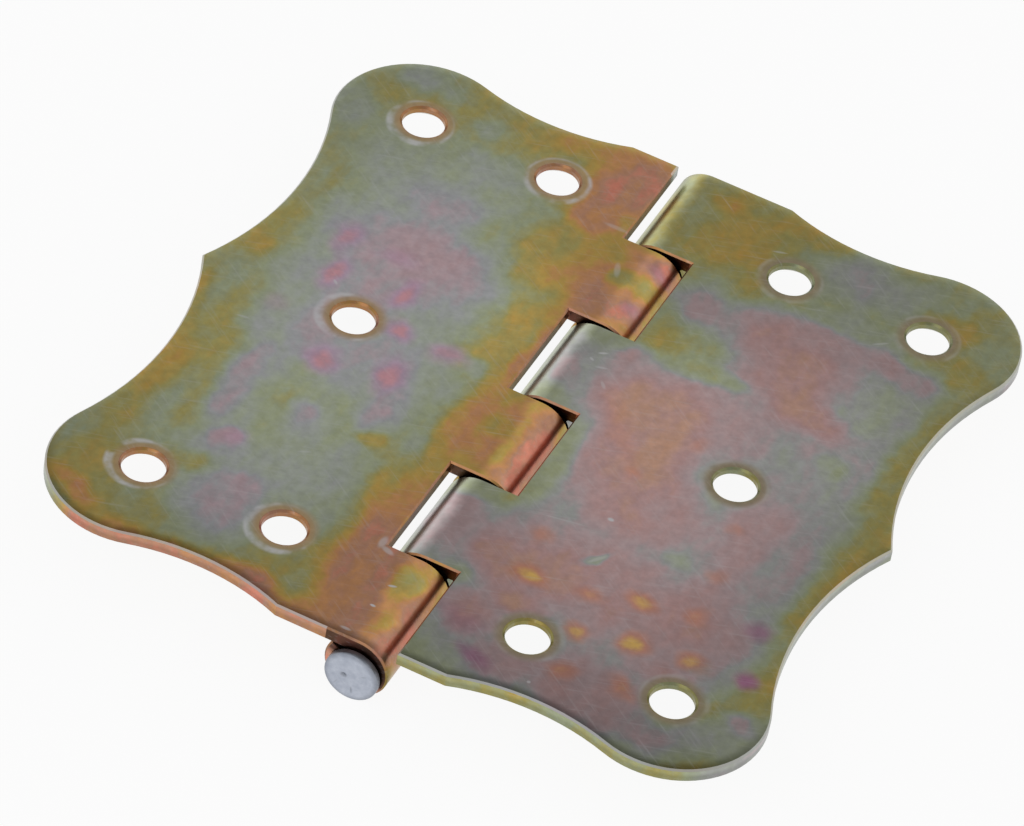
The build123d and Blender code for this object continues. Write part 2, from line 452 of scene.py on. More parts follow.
class HINGE_PG_coat(bpy.types.PropertyGroup):
    """How the film lies on the sheet."""

    rim_film: amount("Rim film", "Film value along the rims", 0.37)
    # Painted shade: the tone of the rims, darker than the middle of a leaf
    painted_rim_shade: amount("Rim tone", "Share of the colour left at the dull rims", 0.71)
    # Painted shade in the dark strip along the front edges
    painted_edge_shade: amount("Strip tone", "Share of the colour left in the dark strip along the front edges", 0.66)
    left_hole: colour("Left hole", "Brown round the screw holes of the left leaf", "#B99C76")
    right_hole: colour("Right hole", "Grey brown round the screw holes of the right leaf", "#AFA086")
    left_hole_tone: amount("Left hole tone", "Share of the colour left round the left leaf's holes", 0.8)
    right_hole_tone: amount("Right hole tone", "Share of the colour left round the right leaf's holes", 0.64)
    left_tint: colour("Left tint", "Tint of the whole left leaf", "#FFFFFF")
    right_tint: colour("Right tint", "Tint of the whole right leaf, a little warmer", "#FFFEF8")
    left_wall_film: amount("Left wall film", "Film value on the front walls of the left leaf", 0.06)
    right_wall_film: amount("Right wall film", "Film value on the front walls of the right leaf", 0.33)
    left_side_film: amount("Left side film", "Film value on the left leaf's walls that face along X", 0.47)
    right_side_film: amount("Right side film", "Film value on the right leaf's walls that face along X", 0.54)
    slot_film: amount("Slot film", "Film value on the walls of the slots and the ends of the knuckles", 0.05)
    slot_tone: amount("Slot tone", "Share of the colour left on the upper walls of the slots", 0.6)
    slot_torn: amount("Slot torn", "Share of the colour left on the torn lower walls of the slots", 0.34)
    slot_edge_film: amount("Slot edge film", "Film value on the bevelled edges of the slots", 0.09)
    slot_edge_tone: amount("Slot edge tone", "Share of the colour left on the bevels of the slots", 0.62)
    wall_tone: amount("Wall tone", "Share of the colour left on the upper walls of the outline", 0.95)
    wall_torn: amount("Wall torn", "Share of the colour left on the torn lower walls of the outline", 0.72)
    # Painted shade on the walls and mouths of the holes
    painted_mouth_shade: amount("Mouth tone", "Share of the colour left on the walls of the holes", 0.6)
    left_mouth_film: amount("Left mouth film", "Film value on the walls of the left leaf's holes", 0.09)
    right_mouth_film: amount("Right mouth film", "Film value on the walls of the right leaf's holes", 0.33)
    # Painted shade on the upper ends of the knuckles
    painted_end_shade: amount("End tone", "Share of the colour left on the dark ends of the knuckles", 0.17)
    underside_film: amount("Underside film", "Middle film value on the knuckle side", 0.38)
    underside_tone: amount("Underside tone", "Share of the colour left on the knuckle side", 0.86)
    left_spot: colour("Left spot", "Rim of the small spots of the left leaf", "#BC94B2")
    left_spot_core: colour("Left spot core", "Middle of the small spots of the left leaf", "#C8949C")
    right_spot: colour("Right spot", "Rim of the small spots of the right leaf", "#D48C6C")
    right_spot_core: colour("Right spot core", "Middle of the small spots of the right leaf", "#E2B96E")
    plum: colour("Plum", "A few violet spots near the front", "#A87494")
    # Bare zinc on the edges: partly wear, partly a painted highlight
    worn_and_highlit_edge: amount("Bare edge", "Share of bare zinc along the edges", 0.5)
    bare_zinc: colour("Bare zinc", "Zinc where the film is rubbed off", "#C7C6C8")
    left_ring: amount("Left ring", "Strength of the rubbed rings round the left leaf's holes", 0.72)
    right_ring: amount("Right ring", "Strength of the rubbed rings round the right leaf's holes", 0.22)
    drift_size: length("Drift size", "Width of the wandering in the stains' outlines", 0.005)
    drift_reach: length("Drift reach", "How far the outlines wander", 0.003)
    mottle_size: length("Mottle size", "Width of the clouds in the film", 0.004)
    mottle_depth: amount("Mottle depth", "How far the clouds change the film value", 0.5)
    mottle_stretch: amount("Mottle stretch", "Width of the clouds as a share of their length", 0.5)
    cloud_size: length("Cloud size", "Width of the stains on the knuckle side", 0.012)
    cloud_depth: amount("Cloud depth", "How far these stains change the film value", 0.35)
    dust_size: length("Dust size", "Width of the light and dark flecks", 0.0009)
    dust_depth: amount("Dust depth", "How far the flecks change the tone", 0.09)
    fleck_depth: amount("Fleck depth", "How far the flecks thin the spots", 0.1)
    patch_size: length("Patch size", "Width of the gaps in the rubbed rings", 0.002857)
    scratch_size: length("Scratch size", "Spacing of the hairline scratches, drawn coarser than real", 0.0003)
    scratch_length: length("Scratch length", "Length of a hairline scratch", 0.004)
    scratch_depth: amount("Scratch depth", "Share of bare zinc in a hairline scratch", 0.16)
    grain_size: length("Grain size", "Width of the satin grain, drawn coarser than real to be seen", 0.0004)
    grain_height: length("Grain height", "Height of the satin grain", 0.000002)
    roll_width: length("Roll width", "Width of the rim that the die drew down", 0.0011)
    roll_depth: length("Roll depth", "How deep the die drew the rim down", 0.00014)
    roughness: amount("Roughness", "Spread of the satin shine", 0.30)


class HINGE_PG_plate(bpy.types.PropertyGroup):
    """Zinc plate of the pin."""

    light: colour("Light", "Light grey of the plate", "#BCC1CC")
    dark: colour("Dark", "Dark grey of the plate", "#A6ACB9")
    # Painted shade on the rim of the pin's heads
    painted_rim_shade: amount("Rim tone", "Share of the colour left on the hammered rim", 0.6)
    mottle_size: length("Mottle size", "Width of the clouds in the plate", 0.0008)
    dent_size: length("Dent size", "Width of the hammer's small dents, drawn coarser than real", 0.0005)
    dent_depth: length("Dent depth", "Depth of the hammer's small dents", 0.000008)
    roughness: amount("Roughness", "Spread of the plate's dull shine", 0.42)


class HINGE_PG_stage(bpy.types.PropertyGroup):
    """Sizes of the studio and the place of the camera."""

    azimuth: angle("Azimuth", "Turn of the camera about the vertical, from looking along the pin", 19.10)
    elevation: angle("Elevation", "Height of the camera as an angle", 42.88)
    roll: angle("Roll", "Lean of the picture", 10.43)
    distance: length("Distance", "From the camera to the point that it looks at", 0.7458)
    aim: bpy.props.FloatVectorProperty(
        name="Aim",
        description="Point in the middle of the picture",
        default=(-0.00184, -0.00343, 0.0068),
        subtype="TRANSLATION",
        unit="LENGTH",
        size=3,
    )
    lens: bpy.props.FloatProperty(
        name="Lens",
        description="Focal length on a sensor 36 mm wide",
        default=265.2,
        unit="CAMERA",
    )
    floor_width: length("Floor width", "Side of the square floor", 6.0)
    floor_white: amount("Floor white", "Share of plain white in the floor, the rest takes the shadow", 0.92)
    dome_top: amount("Dome top", "Light from straight above", 0.25)
    dome_slant: amount("Dome slant", "Light from half way up", 0.68)
    dome_low: amount("Dome low", "Light from the level of the floor", 1.15)
    softbox_width: length("Softbox width", "Side of the square softbox", 0.5)
    softbox_distance: length("Softbox distance", "From the softbox to the hinge", 0.9)
    softbox_power: bpy.props.FloatProperty(
        name="Softbox power", description="Power of the softbox", default=0.6, unit="POWER"
    )


def add_node(tree, kind, inputs=None, **settings):
    """Add a node of this kind with its settings, and set or link its inputs."""
    node = tree.nodes.new(kind)
    for name, value in settings.items():
        setattr(node, name, value)
    for name, value in (inputs or {}).items():
        if isinstance(value, bpy.types.NodeSocket):
            tree.links.new(value, node.inputs[name])
        else:
            node.inputs[name].default_value = value
    return node


def new_material(name):
    """Make an empty node material and return it with its tree."""
    material = bpy.data.materials.new(name)
    material.use_nodes = True
    material.node_tree.nodes.clear()
    return material, material.node_tree


def dress(node_name, material):
    """Put one material on a CAD node."""
    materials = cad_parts[node_name].data.materials
    materials.clear()
    materials.append(material)


def lay_ovals(tree, place, ovals, value, fade):
    """Lay ovals over a field one by one, each fading between two shares of its size, and return the field."""
    inside, outside = fade
    for oval in ovals:
        if oval.turn:
            across = add_node(
                tree,
                "ShaderNodeMapping",
                {
                    "Vector": place,
                    "Location": (oval.x, oval.y, 0),
                    "Rotation": (0, 0, radians(oval.turn)),
                    "Scale": (oval.half_x, oval.half_y, 1),
                },
                vector_type="TEXTURE",
            ).outputs[0]
        else:
            # An upright oval needs no mapping, which would take far longer to render
            across = add_node(
                tree,
                "ShaderNodeVectorMath",
                {
                    0: place,
                    1: (1 / oval.half_x, 1 / oval.half_y, 0),
                    2: (-oval.x / oval.half_x, -oval.y / oval.half_y, 0),
                },
                operation="MULTIPLY_ADD",
            ).outputs[0]
        reach = add_node(tree, "ShaderNodeVectorMath", {0: across}, operation="LENGTH").outputs["Value"]
        value = add_node(
            tree,
            "ShaderNodeMapRange",
            {
                "Value": reach,
                "From Min": inside,
                "From Max": outside,
                "To Min": oval.value,
                "To Max": value,
            },
            interpolation_type="SMOOTHSTEP",
        ).outputs[0]
    return value


def nearest_distance(tree, place, middles):
    """How far a place is from the nearest of these middles, in millimetres."""
    nearest = FAR
    for middle in middles:
        away = add_node(
            tree, "ShaderNodeVectorMath", {0: place, 1: middle}, operation="DISTANCE"
        ).outputs["Value"]
        nearest = add_node(tree, "ShaderNodeMath", {0: away, 1: nearest}, operation="MINIMUM").outputs[0]
    return nearest


def rim_distance(tree, level, shift):
    """How far a place is from the outline of its leaf, in millimetres."""
    fold = add_node(
        tree, "ShaderNodeVectorMath", {0: level, 1: (0, shift, 0)}, operation="SUBTRACT"
    ).outputs[0]
    fold = add_node(tree, "ShaderNodeVectorMath", {0: fold}, operation="ABSOLUTE").outputs[0]
    corner = add_node(
        tree, "ShaderNodeVectorMath", {0: fold, 1: LOBE_CENTRE}, operation="SUBTRACT"
    ).outputs[0]
    corner = add_node(
        tree, "ShaderNodeVectorMath", {0: corner, 1: (0, 0, 0)}, operation="MAXIMUM"
    ).outputs[0]
    corner = add_node(tree, "ShaderNodeVectorMath", {0: corner}, operation="LENGTH").outputs["Value"]
    nearest = add_node(tree, "ShaderNodeMath", {0: LOBE_RADIUS, 1: corner}, operation="SUBTRACT").outputs[0]
    hollows = ((END_HOLLOW_CENTRE, END_HOLLOW_RADIUS), (SIDE_HOLLOW_CENTRE, SIDE_HOLLOW_RADIUS))
    for centre, radius in hollows:
        away = add_node(
            tree, "ShaderNodeVectorMath", {0: fold, 1: centre}, operation="DISTANCE"
        ).outputs["Value"]
        away = add_node(tree, "ShaderNodeMath", {0: away, 1: radius}, operation="SUBTRACT").outputs[0]
        nearest = add_node(tree, "ShaderNodeMath", {0: away, 1: nearest}, operation="MINIMUM").outputs[0]
    return nearest


def scratches(tree, place, turn, coat):
    """Thin, broken hairlines that all run one way."""
    turned = add_node(
        tree, "ShaderNodeVectorRotate", {"Vector": place, "Angle": radians(turn)}, rotation_type="Z_AXIS"
    ).outputs[0]
    drawn = add_node(
        tree,
        "ShaderNodeVectorMath",
        {0: turned, 1: (MM / coat.scratch_length, MM / coat.scratch_size, MM / coat.scratch_size)},
        operation="MULTIPLY",
    ).outputs[0]
    lines = add_node(
        tree, "ShaderNodeTexNoise", {"Vector": drawn, "Scale": 1.0, "Detail": 1.0}
    ).outputs["Fac"]
    thin, thick = SCRATCH_NOISE
    return add_node(
        tree,
        "ShaderNodeMapRange",
        {"Value": lines, "From Min": thin, "From Max": thick, "To Max": coat.scratch_depth},
    ).outputs[0]


def chromate_zinc(name, leaf, colours, coat):
    """Yellow chromate on zinc-plated, stamped steel.

    The thin film gives the eye a satin metal with drifting colours, each set by the film's thickness.
    """
    material, tree = new_material(name)
    coordinates = add_node(tree, "ShaderNodeTexCoord")
    place = add_node(
        tree,
        "ShaderNodeVectorMath",
        {0: coordinates.outputs["Object"], "Scale": 1 / MM},
        operation="SCALE",
    ).outputs[0]
    level = add_node(
        tree, "ShaderNodeVectorMath", {0: place, 1: (1, 1, 0)}, operation="MULTIPLY"
    ).outputs[0]

    # Stains, and painted light and shade, whose outlines wander a little
    drift = add_node(
        tree, "ShaderNodeTexNoise", {"Vector": level, "Scale": MM / coat.drift_size, "Detail": 3.0}
    ).outputs["Color"]
    drift = add_node(
        tree, "ShaderNodeVectorMath", {0: drift, 1: (NOISE_MEAN,) * 3}, operation="SUBTRACT"
    ).outputs[0]
    reach = coat.drift_reach / MM
    wander = add_node(
        tree, "ShaderNodeVectorMath", {0: drift, 1: (reach, reach, 0), 2: level}, operation="MULTIPLY_ADD"
    ).outputs[0]
    film = lay_ovals(tree, wander, leaf.film, coat.rim_film, STAIN_FADE)
    tone = lay_ovals(tree, wander, leaf.tone, coat.painted_rim_shade, STAIN_FADE)
    spot = lay_ovals(tree, wander, leaf.spots, 0.0, SPOT_FADE)
    plum = lay_ovals(tree, wander, leaf.plums, 0.0, SPOT_FADE)

    # Brown round the screw holes
    fold = add_node(tree, "ShaderNodeVectorMath", {0: level}, operation="ABSOLUTE").outputs[0]
    from_hole = nearest_distance(tree, fold, HOLES)
    rim = add_node(
        tree,
        "ShaderNodeMapRange",
        {"Value": from_hole, "From Min": HOLE_MOUTH, "From Max": HOLE_RIM, "To Min": 1.0, "To Max": 0.0},
        interpolation_type="SMOOTHSTEP",
    ).outputs[0]
    tone = add_node(tree, "ShaderNodeMix", {"Factor": rim, 2: tone, 3: leaf.hole_tone}).outputs[0]
    in_hole = add_node(
        tree, "ShaderNodeMath", {0: from_hole, 1: HOLE_MOUTH}, operation="LESS_THAN"
    ).outputs[0]
    rim = add_node(
        tree, "ShaderNodeMath", {0: rim, 1: in_hole}, operation="SUBTRACT", use_clamp=True
    ).outputs[0]

    # Painted shade: a dark strip along the front edges
    from_rim = rim_distance(tree, level, leaf.shift)
    along = add_node(tree, "ShaderNodeSeparateXYZ", {0: place})
    front = add_node(
        tree,
        "ShaderNodeMapRange",
        {"Value": along.outputs["Y"], "From Min": STRIP_START, "From Max": STRIP_FULL},
    ).outputs[0]
    strip = add_node(
        tree,
        "ShaderNodeMapRange",
        {"Value": from_rim, "From Max": STRIP_WIDTH, "To Min": front, "To Max": 0.0},
        interpolation_type="SMOOTHSTEP",
    ).outputs[0]
    strip = add_node(
        tree, "ShaderNodeMapRange", {"Value": strip, "To Min": 1.0, "To Max": coat.painted_edge_shade}
    ).outputs[0]
    tone = add_node(tree, "ShaderNodeMath", {0: tone, 1: strip}, operation="MULTIPLY").outputs[0]

    # Cut walls, bevelled edges, the ends of the knuckles and the knuckle side, told apart by the slope
    slope = add_node(tree, "ShaderNodeSeparateXYZ", {0: coordinates.outputs["Normal"]})
    spread = add_node(tree, "ShaderNodeVectorMath", {0: place}, operation="ABSOLUTE").outputs[0]
    spread = add_node(tree, "ShaderNodeSeparateXYZ", {0: spread})
    from_pin = spread.outputs["X"]
    on_sheet = add_node(
        tree, "ShaderNodeMath", {0: from_pin, 1: KNUCKLE_REACH}, operation="GREATER_THAN"
    ).outputs[0]
    off_hole = add_node(
        tree, "ShaderNodeMath", {0: from_hole, 1: HOLE_MOUTH}, operation="GREATER_THAN"
    ).outputs[0]
    on_rim = add_node(tree, "ShaderNodeMath", {0: on_sheet, 1: off_hole}, operation="MULTIPLY").outputs[0]
    upright = add_node(tree, "ShaderNodeMath", {0: slope.outputs["Z"]}, operation="ABSOLUTE").outputs[0]
    steep = add_node(tree, "ShaderNodeMath", {0: upright, 1: WALL_SLOPE}, operation="LESS_THAN").outputs[0]
    wall = add_node(tree, "ShaderNodeMath", {0: steep, 1: on_rim}, operation="MULTIPLY").outputs[0]
    sideways = add_node(tree, "ShaderNodeMath", {0: slope.outputs["X"]}, operation="ABSOLUTE").outputs[0]
    wall_film = add_node(
        tree,
        "ShaderNodeMapRange",
        {
            "Value": sideways,
            "From Min": SIDE_START,
            "From Max": SIDE_FULL,
            "To Min": leaf.wall_film,
            "To Max": leaf.side_film,
        },
    ).outputs[0]
    in_slot = add_node(tree, "ShaderNodeMath", {0: from_pin, 1: SLOT_REACH}, operation="LESS_THAN").outputs[0]
    inside = add_node(
        tree, "ShaderNodeMath", {0: spread.outputs["Y"], 1: SLOT_END}, operation="LESS_THAN"
    ).outputs[0]
    in_slot = add_node(tree, "ShaderNodeMath", {0: in_slot, 1: inside}, operation="MULTIPLY").outputs[0]
    wall_film = add_node(
        tree, "ShaderNodeMix", {"Factor": in_slot, 2: wall_film, 3: coat.slot_film}
    ).outputs[0]
    smooth = add_node(
        tree,
        "ShaderNodeMapRange",
        {"Value": along.outputs["Z"], "From Min": TORN_TOP, "From Max": SMOOTH_LOW},
    ).outputs[0]
    wall_tone = add_node(
        tree, "ShaderNodeMix", {"Factor": smooth, 2: coat.wall_torn, 3: coat.wall_tone}
    ).outputs[0]
    slot_tone = add_node(
        tree, "ShaderNodeMix", {"Factor": smooth, 2: coat.slot_torn, 3: coat.slot_tone}
    ).outputs[0]
    wall_tone = add_node(tree, "ShaderNodeMix", {"Factor": in_slot, 2: wall_tone, 3: slot_tone}).outputs[0]
    bevel = add_node(
        tree,
        "ShaderNodeMath",
        {0: slope.outputs["Z"], 1: BEVEL_SLOPE, 2: BEVEL_SPREAD},
        operation="COMPARE",
    ).outputs[0]
    across = add_node(tree, "ShaderNodeMath", {0: slope.outputs["Y"]}, operation="ABSOLUTE").outputs[0]
    off_curl = add_node(
        tree, "ShaderNodeMath", {0: across, 1: WALL_SLOPE}, operation="GREATER_THAN"
    ).outputs[0]
    off_curl = add_node(tree, "ShaderNodeMath", {0: off_curl, 1: on_sheet}, operation="MAXIMUM").outputs[0]
    slot_edge = add_node(tree, "ShaderNodeMath", {0: bevel, 1: in_slot}, operation="MULTIPLY").outputs[0]
    slot_edge = add_node(tree, "ShaderNodeMath", {0: slot_edge, 1: off_curl}, operation="MULTIPLY").outputs[0]
    bevel = add_node(tree, "ShaderNodeMath", {0: bevel, 1: on_rim}, operation="MULTIPLY").outputs[0]
    bevel = add_node(
        tree, "ShaderNodeMath", {0: bevel, 1: slot_edge}, operation="SUBTRACT", use_clamp=True
    ).outputs[0]
    bevel = add_node(tree, "ShaderNodeMath", {0: bevel, 1: coat.worn_and_highlit_edge}, operation="MULTIPLY").outputs[0]
    end = add_node(tree, "ShaderNodeMath", {0: across, 1: END_SLOPE}, operation="GREATER_THAN").outputs[0]
    end = add_node(
        tree, "ShaderNodeMath", {0: end, 1: on_sheet}, operation="SUBTRACT", use_clamp=True
    ).outputs[0]
    # Painted shade darkens the ends of the knuckles above a slanted height
    slant = add_node(
        tree,
        "ShaderNodeMath",
        {0: along.outputs["X"], 1: END_SLANT, 2: along.outputs["Z"]},
        operation="MULTIPLY_ADD",
    ).outputs[0]
    painted_end_shade = add_node(
        tree,
        "ShaderNodeMapRange",
        {
            "Value": slant,
            "From Min": END_LOW,
            "From Max": END_HIGH,
            "To Min": 1.0,
            "To Max": coat.painted_end_shade,
        },
    ).outputs[0]
    below = add_node(
        tree, "ShaderNodeMath", {0: slope.outputs["Z"], 1: -WALL_SLOPE}, operation="LESS_THAN"
    ).outputs[0]
    below = add_node(tree, "ShaderNodeMath", {0: below, 1: on_sheet}, operation="MULTIPLY").outputs[0]
    clouds = add_node(
        tree, "ShaderNodeTexNoise", {"Vector": place, "Scale": MM / coat.cloud_size, "Detail": 2.0}
    ).outputs["Fac"]
    thin, thick = CLOUD_NOISE
    clouds = add_node(
        tree,
        "ShaderNodeMapRange",
        {
            "Value": clouds,
            "From Min": thin,
            "From Max": thick,
            "To Min": coat.underside_film - coat.cloud_depth,
            "To Max": coat.underside_film + coat.cloud_depth,
        },
    ).outputs[0]
    faces = (
        # Painted shade dims the walls and mouths of the holes
        (in_hole, leaf.mouth_film, coat.painted_mouth_shade),
        (wall, wall_film, wall_tone),
        (slot_edge, coat.slot_edge_film, coat.slot_edge_tone),
        (end, coat.slot_film, painted_end_shade),
        (below, clouds, coat.underside_tone),
    )
    for face, face_film, face_tone in faces:
        film = add_node(tree, "ShaderNodeMix", {"Factor": face, 2: film, 3: face_film}).outputs[0]
        tone = add_node(tree, "ShaderNodeMix", {"Factor": face, 2: tone, 3: face_tone}).outputs[0]
    above = add_node(tree, "ShaderNodeMath", {0: 1.0, 1: below}, operation="SUBTRACT").outputs[0]
    spot = add_node(tree, "ShaderNodeMath", {0: spot, 1: above}, operation="MULTIPLY").outputs[0]
    plum = add_node(tree, "ShaderNodeMath", {0: plum, 1: above}, operation="MULTIPLY").outputs[0]

    # Clouds in the film, longer along the pin than across it
    streaks = add_node(
        tree, "ShaderNodeVectorMath", {0: place, 1: (1, coat.mottle_stretch, 1)}, operation="MULTIPLY"
    ).outputs[0]
    mottle = add_node(
        tree,
        "ShaderNodeTexNoise",
        {"Vector": streaks, "Scale": MM / coat.mottle_size, "Detail": 5.0, "Roughness": 0.6},
    ).outputs["Fac"]
    mottle = add_node(tree, "ShaderNodeMath", {0: mottle, 1: NOISE_MEAN}, operation="SUBTRACT").outputs[0]
    film = add_node(
        tree, "ShaderNodeMath", {0: mottle, 1: coat.mottle_depth, 2: film}, operation="MULTIPLY_ADD"
    ).outputs[0]
    ramp = add_node(tree, "ShaderNodeValToRGB", {"Fac": film})
    elements = ramp.color_ramp.elements
    while len(elements) < len(FILM_STEPS):
        elements.new(0.5)
    for element, step, key in zip(elements, FILM_STEPS, colours.__annotations__):
        element.position = step
        element.color = getattr(colours, key)

    # Small spots, broken up by the flecks, with another colour in their middles
    dust = add_node(
        tree, "ShaderNodeTexNoise", {"Vector": place, "Scale": MM / coat.dust_size, "Detail": 4.0}
    ).outputs["Fac"]
    thin, thick = FLECK_NOISE
    flecks = add_node(
        tree,
        "ShaderNodeMapRange",
        {"Value": dust, "From Min": thin, "From Max": thick, "To Min": 1 - coat.fleck_depth},
    ).outputs[0]
    spot = add_node(tree, "ShaderNodeMath", {0: spot, 1: flecks}, operation="MULTIPLY").outputs[0]
    outer, inner = CORE_SHARE
    core = add_node(
        tree, "ShaderNodeMapRange", {"Value": spot, "From Min": outer, "From Max": inner}
    ).outputs[0]
    spot_colour = add_node(
        tree, "ShaderNodeMix", {"Factor": core, 6: leaf.spot, 7: leaf.spot_core}, data_type="RGBA"
    ).outputs[2]
    shade = add_node(
        tree, "ShaderNodeMix", {"Factor": spot, 6: ramp.outputs["Color"], 7: spot_colour}, data_type="RGBA"
    ).outputs[2]
    shade = add_node(
        tree, "ShaderNodeMix", {"Factor": plum, 6: shade, 7: coat.plum}, data_type="RGBA"
    ).outputs[2]
    shade = add_node(
        tree, "ShaderNodeMix", {"Factor": rim, 6: shade, 7: leaf.hole}, data_type="RGBA"
    ).outputs[2]
    thin, thick = DUST_NOISE
    dust = add_node(
        tree,
        "ShaderNodeMapRange",
        {
            "Value": dust,
            "From Min": thin,
            "From Max": thick,
            "To Min": 1 - coat.dust_depth,
            "To Max": 1 + coat.dust_depth,
        },
    ).outputs[0]
    tone = add_node(tree, "ShaderNodeMath", {0: tone, 1: dust}, operation="MULTIPLY").outputs[0]
    shade = add_node(
        tree, "ShaderNodeVectorMath", {0: shade, 1: tuple(leaf.tint)[:3]}, operation="MULTIPLY"
    ).outputs[0]
    shade = add_node(tree, "ShaderNodeVectorMath", {0: shade, "Scale": tone}, operation="SCALE").outputs[0]

    # Bare zinc on the edges, partly wear and partly a painted highlight, and in rubbed rings, nicks and
    # hairline scratches
    ring_start = add_node(
        tree,
        "ShaderNodeMapRange",
        {
            "Value": from_hole,
            "From Min": RING_INSIDE,
            "From Max": RING_INSIDE + RING_FADE,
            "To Max": leaf.ring,
        },
        interpolation_type="SMOOTHSTEP",
    ).outputs[0]
    ring = add_node(
        tree,
        "ShaderNodeMapRange",
        {
            "Value": nearest_distance(tree, level, leaf.rings),
            "From Min": RING_OUTSIDE - RING_FADE,
            "From Max": RING_OUTSIDE,
            "To Min": ring_start,
            "To Max": 0.0,
        },
        interpolation_type="SMOOTHSTEP",
    ).outputs[0]
    patchy = add_node(
        tree, "ShaderNodeTexNoise", {"Vector": level, "Scale": MM / coat.patch_size, "Detail": 3.0}
    ).outputs["Fac"]
    thin, thick = PATCH_NOISE
    patchy = add_node(
        tree, "ShaderNodeMapRange", {"Value": patchy, "From Min": thin, "From Max": thick}
    ).outputs[0]
    rub = add_node(tree, "ShaderNodeMath", {0: ring, 1: patchy}, operation="MULTIPLY").outputs[0]
    rub = lay_ovals(tree, level, leaf.nicks, rub, NICK_FADE)
    rub = add_node(tree, "ShaderNodeMath", {0: rub, 1: above}, operation="MULTIPLY").outputs[0]
    for turn in SCRATCH_TURNS:
        lines = scratches(tree, place, turn, coat)
        rub = add_node(tree, "ShaderNodeMath", {0: rub, 1: lines}, operation="MAXIMUM").outputs[0]
    rub = add_node(tree, "ShaderNodeMath", {0: rub, 1: bevel}, operation="MAXIMUM").outputs[0]
    bare = add_node(
        tree, "ShaderNodeMix", {"Factor": rub, 6: shade, 7: coat.bare_zinc}, data_type="RGBA"
    ).outputs[2]

    # Satin grain, and the rim that the die drew down
    grain = add_node(
        tree, "ShaderNodeTexNoise", {"Vector": place, "Scale": MM / coat.grain_size, "Detail": 2.0}
    ).outputs["Fac"]
    grain = add_node(
        tree, "ShaderNodeMath", {0: grain, 1: coat.grain_height}, operation="MULTIPLY"
    ).outputs[0]
    roll = add_node(
        tree,
        "ShaderNodeMapRange",
        {"Value": from_rim, "From Max": coat.roll_width / MM, "To Min": 1.0, "To Max": 0.0},
    ).outputs[0]
    roll = add_node(tree, "ShaderNodeMath", {0: roll, 1: 2.0}, operation="POWER").outputs[0]
    relief = add_node(
        tree, "ShaderNodeMath", {0: roll, 1: -coat.roll_depth, 2: grain}, operation="MULTIPLY_ADD"
    ).outputs[0]
    normal = add_node(tree, "ShaderNodeBump", {"Height": relief, "Strength": 1.0, "Distance": 1.0}).outputs[0]
    surface = add_node(
        tree,
        "ShaderNodeBsdfPrincipled",
        {"Base Color": bare, "Metallic": 1.0, "Roughness": coat.roughness, "Normal": normal},
    )
    add_node(tree, "ShaderNodeOutputMaterial", {"Surface": surface.outputs[0]})
    return material


def zinc_plate(name, plate):
    """Plain zinc on the hammered pin: a dull, blue-grey metal with small dents and scratches."""
    material, tree = new_material(name)
    coordinates = add_node(tree, "ShaderNodeTexCoord")
    place = add_node(
        tree,
        "ShaderNodeVectorMath",
        {0: coordinates.outputs["Object"], "Scale": 1 / MM},
        operation="SCALE",
    ).outputs[0]
    spot = add_node(tree, "ShaderNodeSeparateXYZ", {0: place})
    face = add_node(
        tree, "ShaderNodeCombineXYZ", {"X": spot.outputs["X"], "Y": spot.outputs["Z"]}
    ).outputs[0]
    tone = lay_ovals(tree, face, PIN_MARKS, 1.0, MARK_FADE)
    # Painted shade on the rim of the heads
    radius = add_node(
        tree, "ShaderNodeVectorMath", {0: face, 1: (0, PIN_HEIGHT, 0)}, operation="DISTANCE"
    ).outputs["Value"]
    rim = add_node(
        tree,
        "ShaderNodeMapRange",
        {
            "Value": radius,
            "From Min": HEAD_RIM,
            "From Max": HEAD_RADIUS,
            "To Min": 1.0,
            "To Max": plate.painted_rim_shade,
        },
    ).outputs[0]
    tone = add_node(tree, "ShaderNodeMath", {0: tone, 1: rim}, operation="MULTIPLY").outputs[0]
    mottle = add_node(
        tree,
        "ShaderNodeTexNoise",
        {"Vector": place, "Scale": MM / plate.mottle_size, "Detail": 4.0, "Roughness": 0.7},
    ).outputs["Fac"]
    thin, thick = PLATE_NOISE
    mottle = add_node(
        tree, "ShaderNodeMapRange", {"Value": mottle, "From Min": thin, "From Max": thick}
    ).outputs[0]
    shade = add_node(
        tree, "ShaderNodeMix", {"Factor": mottle, 6: plate.dark, 7: plate.light}, data_type="RGBA"
    ).outputs[2]
    shade = add_node(tree, "ShaderNodeVectorMath", {0: shade, "Scale": tone}, operation="SCALE").outputs[0]
    dents = add_node(
        tree, "ShaderNodeTexNoise", {"Vector": place, "Scale": MM / plate.dent_size, "Detail": 2.0}
    ).outputs["Fac"]
    normal = add_node(
        tree, "ShaderNodeBump", {"Height": dents, "Strength": 1.0, "Distance": plate.dent_depth}
    ).outputs[0]
    surface = add_node(
        tree,
        "ShaderNodeBsdfPrincipled",
        {"Base Color": shade, "Metallic": 1.0, "Roughness": plate.roughness, "Normal": normal},
    )
    add_node(tree, "ShaderNodeOutputMaterial", {"Surface": surface.outputs[0]})
    return material


# What one leaf's material needs: its own patterns, and its own settings of the coat
PATTERNS = ("film", "tone", "spots", "plums", "nicks", "rings", "shift")
SETTINGS = ("wall_film", "side_film", "hole", "mouth_film", "hole_tone", "ring", "tint", "spot", "spot_core")
Leaf = namedtuple("Leaf", PATTERNS + SETTINGS)
LEAVES = {
    "left": (LEFT_FILM, LEFT_TONE, LEFT_SPOTS, (), LEFT_NICKS, LEFT_RINGS, -OUTLINE_SHIFT),
    "right": (RIGHT_FILM, RIGHT_TONE, RIGHT_SPOTS, RIGHT_PLUMS, RIGHT_NICKS, RIGHT_RINGS, OUTLINE_SHIFT),
}


